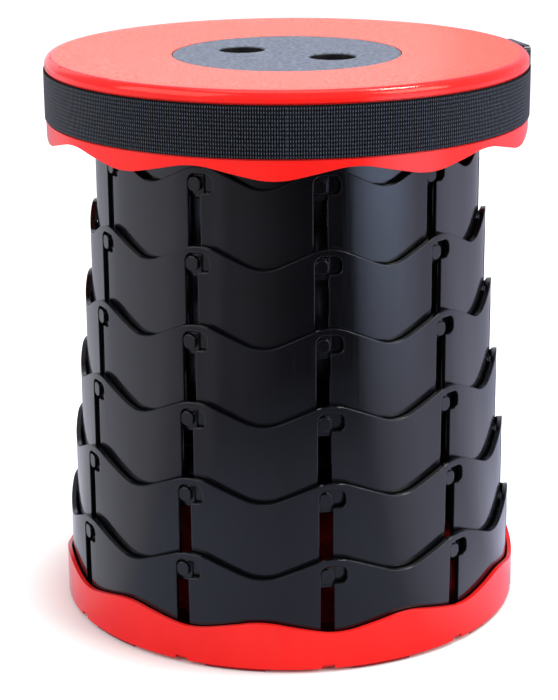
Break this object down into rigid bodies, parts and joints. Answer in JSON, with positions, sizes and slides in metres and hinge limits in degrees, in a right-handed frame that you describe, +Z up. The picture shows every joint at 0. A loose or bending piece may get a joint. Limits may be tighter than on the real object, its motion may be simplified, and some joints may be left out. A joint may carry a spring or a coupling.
{
  "type": "telescopic stool",
  "caption": "Folding round stool: nested slotted rings slide out of a base and lock by a twist, under a round seat with a carry strap.",
  "frame": {"origin": "on the floor, on the axis of the rings, with the stool pulled up", "axes": "+Z up along the axis of the rings, -Y towards the viewer of the picture, +X to the viewer's right; the buckle is near +X"},
  "size_m": [0.258, 0.2544, 0.2986],
  "materials": {
    "red_plastic": "satin",
    "dark_plastic": "satin",
    "grey_plastic": "fine texture",
    "webbing": "ribbed weave",
    "buckle_plastic": "gloss",
    "screw_steel": "zinc plated"
  },
  "bodies": {
    "base": {"base_shell": "red_plastic", "foot_pads": "red_plastic", "ring_1": "dark_plastic"},
    "stage_2": {"ring_2_foot": "dark_plastic"},
    "tier_2": {"ring_2": "dark_plastic"},
    "stage_3": {"ring_3_foot": "dark_plastic"},
    "tier_3": {"ring_3": "dark_plastic"},
    "stage_4": {"ring_4_foot": "dark_plastic"},
    "tier_4": {"ring_4": "dark_plastic"},
    "stage_5": {"ring_5_foot": "dark_plastic"},
    "tier_5": {"ring_5": "dark_plastic"},
    "stage_6": {"ring_6_foot": "dark_plastic"},
    "tier_6": {"ring_6": "dark_plastic"},
    "stage_7": {"ring_7_foot": "dark_plastic"},
    "top": {"ring_7": "dark_plastic", "seat_shell": "red_plastic", "seat_inlay": "grey_plastic", "collar_screws": "screw_steel", "carry_strap": "webbing", "strap_buckle": "buckle_plastic"}
  },
  "joints": [
    {"name": "slide_2", "type": "slide", "parent": "base", "child": "stage_2", "axis": [0, 0, 1], "range_m": [-0.0392, 0]},
    {"name": "twist_2", "type": "hinge", "parent": "stage_2", "child": "tier_2", "pos_m": [0, 0, 0.0437], "axis": [0, 0, 1], "range_deg": [0, 3.03]},
    {"name": "slide_3", "type": "slide", "parent": "tier_2", "child": "stage_3", "axis": [0, 0, 1], "range_m": [-0.0392, 0]},
    {"name": "twist_3", "type": "hinge", "parent": "stage_3", "child": "tier_3", "pos_m": [0, 0, 0.0829], "axis": [0, 0, 1], "range_deg": [0, 3.13]},
    {"name": "slide_4", "type": "slide", "parent": "tier_3", "child": "stage_4", "axis": [0, 0, 1], "range_m": [-0.0392, 0]},
    {"name": "twist_4", "type": "hinge", "parent": "stage_4", "child": "tier_4", "pos_m": [0, 0, 0.1221], "axis": [0, 0, 1], "range_deg": [0, 3.24]},
    {"name": "slide_5", "type": "slide", "parent": "tier_4", "child": "stage_5", "axis": [0, 0, 1], "range_m": [-0.0392, 0]},
    {"name": "twist_5", "type": "hinge", "parent": "stage_5", "child": "tier_5", "pos_m": [0, 0, 0.1613], "axis": [0, 0, 1], "range_deg": [0, 3.35]},
    {"name": "slide_6", "type": "slide", "parent": "tier_5", "child": "stage_6", "axis": [0, 0, 1], "range_m": [-0.0392, 0]},
    {"name": "twist_6", "type": "hinge", "parent": "stage_6", "child": "tier_6", "pos_m": [0, 0, 0.2005], "axis": [0, 0, 1], "range_deg": [0, 3.47]},
    {"name": "slide_7", "type": "slide", "parent": "tier_6", "child": "stage_7", "axis": [0, 0, 1], "range_m": [-0.0392, 0]},
    {"name": "twist_7", "type": "hinge", "parent": "stage_7", "child": "top", "pos_m": [0, 0, 0.2397], "axis": [0, 0, 1], "range_deg": [0, 3.61]}
  ]
}
